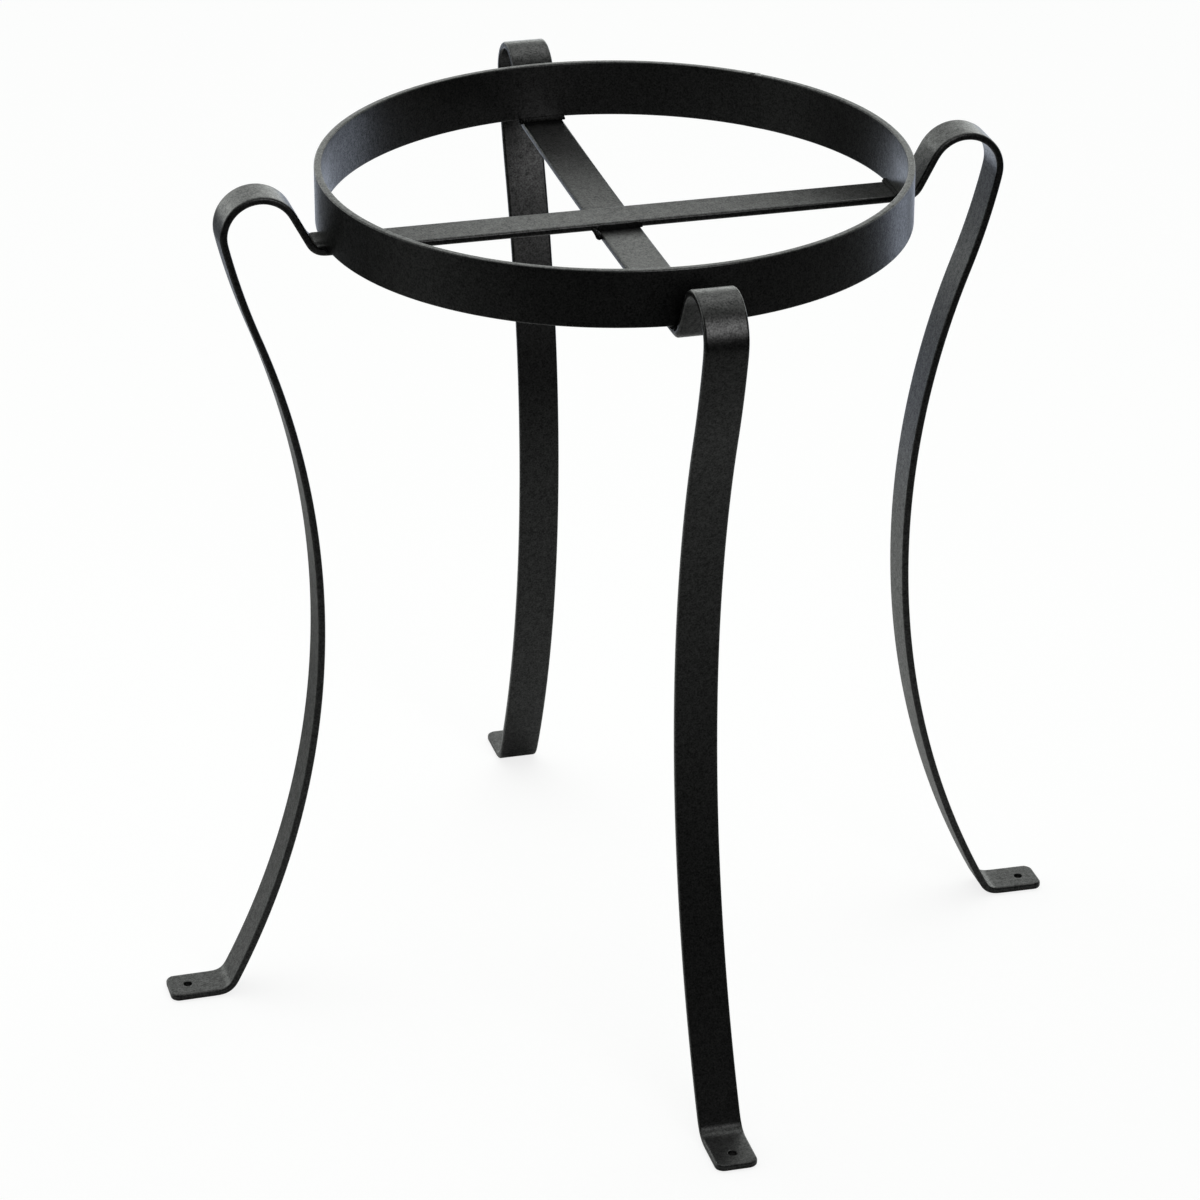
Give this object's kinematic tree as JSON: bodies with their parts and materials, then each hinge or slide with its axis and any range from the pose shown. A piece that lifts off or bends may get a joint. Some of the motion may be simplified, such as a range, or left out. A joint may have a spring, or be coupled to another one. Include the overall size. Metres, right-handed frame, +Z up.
{
  "type": "plant stand",
  "caption": "Welded flat-bar plant stand: a hoop for the pot on two crossing bent bars with crook shoulders, swept legs and flat drilled feet.",
  "frame": {"origin": "on the floor, midway between the four feet, under the centre of the ring", "axes": "+Z up; the upper bar runs along X, left to right, and the lower bar along Y, front (-Y) to back (+Y)"},
  "size_m": [0.4204, 0.4204, 0.3867],
  "materials": {
    "ring_coating": "satin black coating with a fine grain, over rolled steel",
    "bar_coating": "satin black coating with a fine grain, over rolled steel",
    "weld_coating": "the same satin black coating over ripple of the weld bead"
  },
  "bodies": {
    "root": {"pot_ring": "ring_coating", "left_right_bar": "bar_coating", "front_back_bar": "bar_coating", "left_inner_weld": "weld_coating", "left_outer_weld": "weld_coating", "right_inner_weld": "weld_coating", "right_outer_weld": "weld_coating", "front_inner_weld": "weld_coating", "front_outer_weld": "weld_coating", "back_inner_weld": "weld_coating", "back_outer_weld": "weld_coating", "front_crossing_weld": "weld_coating", "back_crossing_weld": "weld_coating", "ring_seam_weld": "weld_coating"}
  },
  "joints": []
}
